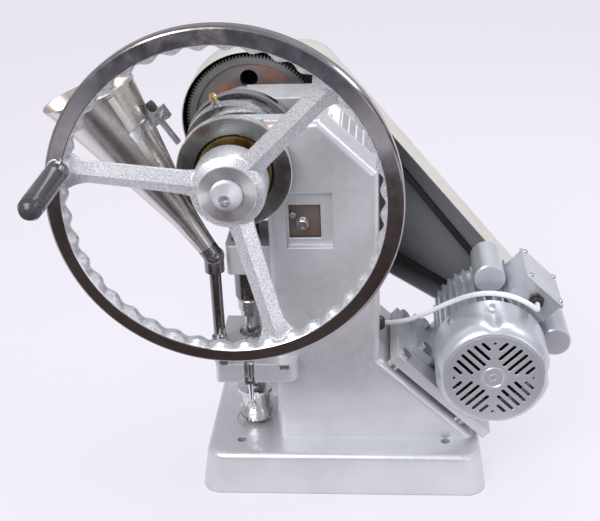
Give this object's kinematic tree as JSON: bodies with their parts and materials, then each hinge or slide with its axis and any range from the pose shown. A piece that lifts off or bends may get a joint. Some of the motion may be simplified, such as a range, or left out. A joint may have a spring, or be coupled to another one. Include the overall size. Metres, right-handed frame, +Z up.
{
  "type": "single-punch tablet press",
  "caption": "Motor-driven desktop single-punch tablet press: cast C-frame, spoked handwheel, eccentric ram, swinging hopper feeder, belt and gear drive in an open guard.",
  "frame": {"origin": "centre of the four bench-bolt holes, on the underside of the base", "axes": "+X from the hopper side to the motor, +Y away from the handwheel, +Z up"},
  "size_m": [0.6461, 0.4786, 0.64],
  "materials": {
    "frame_paint": "silver-grey metallic paint",
    "guard_paint": "cream paint outside, dark inside",
    "cast_bright": "hammered silver paint with machined faces",
    "steel": "machined",
    "dark_steel": "oiled dark steel",
    "chrome": "bright plated",
    "stainless": "polished stainless sheet",
    "brass": "turned brass",
    "bronze": "bearing bronze",
    "gear_iron": "cut gear, primed web",
    "black_plastic": "moulded",
    "grip_plastic": "moulded dark grey",
    "belt_rubber": "matt rubber",
    "cable_sheath": "pale plastic sheath",
    "plate_metal": "blank printed plate",
    "motor_paint": "silver paint on aluminium"
  },
  "bodies": {
    "frame": {"frame_casting": "frame_paint", "shaft_bushes": "bronze", "pinion_bush": "bronze", "lever_pin": "steel", "name_plate": "plate_metal", "plate_rivets": "steel", "belt_guard": "guard_paint", "guard_studs": "steel", "v_belt": "belt_rubber", "die": "steel", "stop_rod": "chrome", "adjuster_stud": "steel", "hold_down_stud": "steel", "hold_down_spring": "steel", "motor_body": "motor_paint", "drive_shield": "motor_paint", "fan_cowl": "motor_paint", "cowl_screws": "steel", "terminal_box": "motor_paint", "terminal_lid": "motor_paint", "cable_gland": "black_plastic", "capacitors": "motor_paint", "motor_plate": "frame_paint", "plate_bolts": "steel", "motor_cable": "cable_sheath", "frame_grommet": "black_plastic"},
    "main_shaft": {"main_shaft": "steel", "wheel_cap": "steel", "shaft_collar": "dark_steel", "gear_nut": "dark_steel", "handwheel": "cast_bright", "handle_spindle": "chrome", "feed_cam": "steel", "eccentric_sheave": "steel", "lift_cam": "dark_steel", "main_gear": "gear_iron"},
    "grip": {"handle_grip": "grip_plastic"},
    "strap": {"strap_rod": "steel", "oil_cup": "brass"},
    "ram": {"ram": "dark_steel", "wrist_pin": "steel", "punch_holder": "chrome", "upper_punch": "steel"},
    "feeder": {"feed_shoe": "steel", "feed_pipe": "chrome", "feed_elbow": "steel", "hopper": "stainless", "hopper_clamp": "steel", "clamp_knob": "black_plastic", "feed_rod": "steel"},
    "lift": {"lift_rod": "steel", "lift_yoke": "dark_steel", "lower_punch": "steel"},
    "lever": {"lift_lever": "dark_steel"},
    "adjuster": {"adjuster_chuck": "chrome"},
    "pinion": {"pinion_shaft": "dark_steel", "big_pulley": "gear_iron"},
    "rotor": {"motor_shaft": "steel", "cooling_fan": "black_plastic", "motor_pulley": "gear_iron"}
  },
  "joints": [
    {"name": "main_shaft_spin", "type": "hinge", "parent": "frame", "child": "main_shaft", "pos_m": [-0.12, 0, 0.44], "axis": [0, 1, 0], "continuous": true},
    {"name": "grip_spin", "type": "hinge", "parent": "main_shaft", "child": "grip", "pos_m": [-0.29853, -0.24, 0.48451], "axis": [0, 1, 0], "continuous": true},
    {"name": "ram_slide", "type": "slide", "parent": "frame", "child": "ram", "axis": [0, 0, 1], "range_m": [-0.01643, 0.00357]},
    {"name": "strap_swing", "type": "hinge", "parent": "ram", "child": "strap", "pos_m": [-0.12, -0.024, 0.341], "axis": [0, 1, 0], "range_deg": [-1.27, 9.58]},
    {"name": "feeder_swing", "type": "hinge", "parent": "frame", "child": "feeder", "pos_m": [-0.157, -0.058, 0.19], "axis": [0, 0, 1], "range_deg": [-8, 6]},
    {"name": "lift_slide", "type": "slide", "parent": "frame", "child": "lift", "axis": [0, 0, 1], "range_m": [0, 0.009]},
    {"name": "lever_swing", "type": "hinge", "parent": "frame", "child": "lever", "pos_m": [-0.049, 0.01, 0.379], "axis": [0, 1, 0], "range_deg": [0, 7.3]},
    {"name": "adjuster_turn", "type": "hinge", "parent": "frame", "child": "adjuster", "pos_m": [-0.12, -0.024, 0.08], "axis": [0, 0, 1], "range_deg": [-180, 180]},
    {"name": "pinion_spin", "type": "hinge", "parent": "frame", "child": "pinion", "pos_m": [-0.03544, 0.1, 0.38296], "axis": [0, 1, 0], "continuous": true},
    {"name": "rotor_spin", "type": "hinge", "parent": "frame", "child": "rotor", "pos_m": [0.191, 0, 0.173], "axis": [0, 1, 0], "continuous": true}
  ],
  "couplings": [
    {"joint": "pinion_spin", "follows": "main_shaft_spin", "ratio": -5.8},
    {"joint": "rotor_spin", "follows": "main_shaft_spin", "ratio": -18.661},
    {"joint": "lever_swing", "follows": "lift_slide", "rad_per_m": 14.08}
  ]
}
